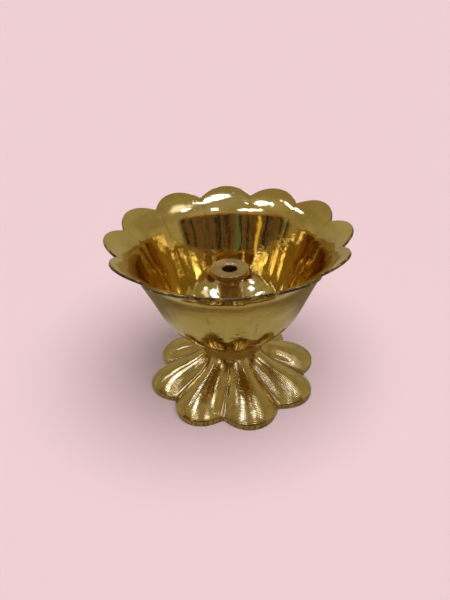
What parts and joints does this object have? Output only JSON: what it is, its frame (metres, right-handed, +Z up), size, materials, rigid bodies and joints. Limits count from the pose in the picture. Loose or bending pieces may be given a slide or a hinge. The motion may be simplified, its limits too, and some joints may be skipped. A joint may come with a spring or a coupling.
{
  "type": "oil lamp",
  "caption": "Cast brass lotus-flower oil lamp: a scalloped petal bowl with a screw-in wick holder, clamped on a lobed petal foot.",
  "frame": {"origin": "centre of the foot's standing edge, on the table", "axes": "+Z up along the lamp's axis; -Y is the side that faces the viewer"},
  "size_m": [0.0902, 0.0902, 0.0659],
  "materials": {
    "bowl_brass": "polished cast brass, buffed by hand",
    "foot_brass": "polished cast brass with fine ring marks from the file, filed edge",
    "turned_brass": "turned, semi-bright",
    "holder_brass": "turned, slightly dulled by oil",
    "seal_fibre": "dark red-brown fibre washer, matt",
    "hardware_brass": "plain machined brass"
  },
  "bodies": {
    "lamp": {"lotus_bowl": "bowl_brass", "petal_foot": "foot_brass", "neck_collar": "turned_brass", "tie_stud": "hardware_brass", "foot_washer": "hardware_brass", "foot_nut": "hardware_brass"},
    "seal": {"holder_seal": "seal_fibre"},
    "holder": {"wick_holder": "holder_brass"}
  },
  "joints": [
    {"name": "holder_lift", "type": "slide", "parent": "lamp", "child": "seal", "axis": [0, 0, 1], "range_m": [0, 0.0061]},
    {"name": "holder_turn", "type": "hinge", "parent": "seal", "child": "holder", "pos_m": [0, 0, 0.045], "axis": [0, 0, 1], "range_deg": [0, 2160]}
  ],
  "couplings": [
    {"joint": "holder_lift", "follows": "holder_turn", "m_per_rad": 0.00015915}
  ]
}
